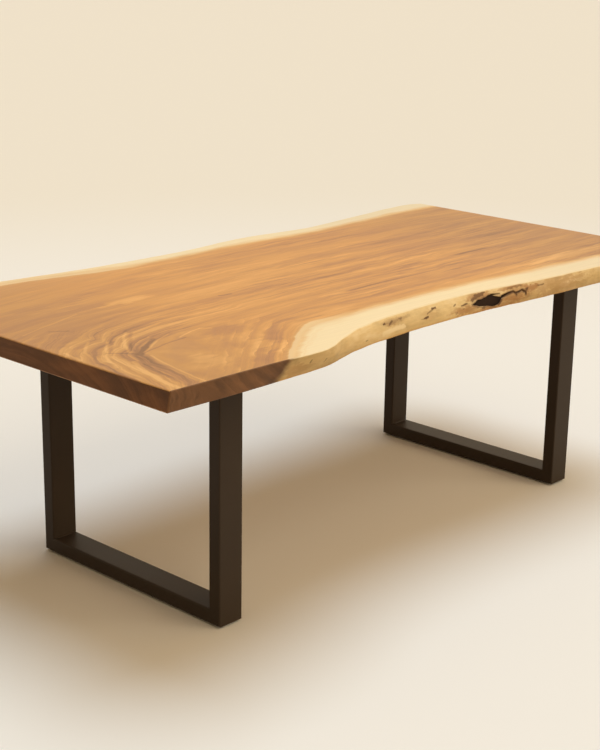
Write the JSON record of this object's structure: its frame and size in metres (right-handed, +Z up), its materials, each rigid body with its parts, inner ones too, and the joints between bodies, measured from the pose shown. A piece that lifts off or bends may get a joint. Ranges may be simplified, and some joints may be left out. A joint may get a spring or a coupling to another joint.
{
  "type": "live edge dining table",
  "caption": "Long dining table: one thick hardwood slab with wavy live edges and sawn ends, carried by U shaped frames of dark rectangular steel tube on levelling feet.",
  "frame": {"origin": "on the floor, under the middle of the slab's bounding box", "axes": "+X along the table to its right end, +Y across it to the back, +Z up; the front is the long side with the filled bark void"},
  "size_m": [2.2, 1.1394, 0.75],
  "materials": {
    "slab_wood": "satin",
    "black_resin": "satin",
    "frame_coat": "satin",
    "plated_steel": "satin",
    "insert_brass": "satin",
    "foot_plastic": "matte"
  },
  "bodies": {
    "table": {"slab_top": "slab_wood", "resin_fill": "black_resin", "left_front_post": "frame_coat", "left_back_post": "frame_coat", "left_foot_rail": "frame_coat", "left_top_plate": "frame_coat", "right_front_post": "frame_coat", "right_back_post": "frame_coat", "right_foot_rail": "frame_coat", "right_top_plate": "frame_coat", "left_plate_screws": "plated_steel", "right_plate_screws": "plated_steel", "left_threaded_inserts": "insert_brass", "right_threaded_inserts": "insert_brass", "left_foot_nuts": "plated_steel", "right_foot_nuts": "plated_steel"},
    "left_front_foot": {"left_front_foot_pad": "foot_plastic", "left_front_foot_stud": "plated_steel"},
    "left_back_foot": {"left_back_foot_pad": "foot_plastic", "left_back_foot_stud": "plated_steel"},
    "right_front_foot": {"right_front_foot_pad": "foot_plastic", "right_front_foot_stud": "plated_steel"},
    "right_back_foot": {"right_back_foot_pad": "foot_plastic", "right_back_foot_stud": "plated_steel"}
  },
  "joints": [
    {"name": "left_front_foot_screw", "type": "slide", "parent": "table", "child": "left_front_foot", "axis": [0, 0, 1], "range_m": [-0.012, 0]},
    {"name": "left_back_foot_screw", "type": "slide", "parent": "table", "child": "left_back_foot", "axis": [0, 0, 1], "range_m": [-0.012, 0]},
    {"name": "right_front_foot_screw", "type": "slide", "parent": "table", "child": "right_front_foot", "axis": [0, 0, 1], "range_m": [-0.012, 0]},
    {"name": "right_back_foot_screw", "type": "slide", "parent": "table", "child": "right_back_foot", "axis": [0, 0, 1], "range_m": [-0.012, 0]}
  ]
}
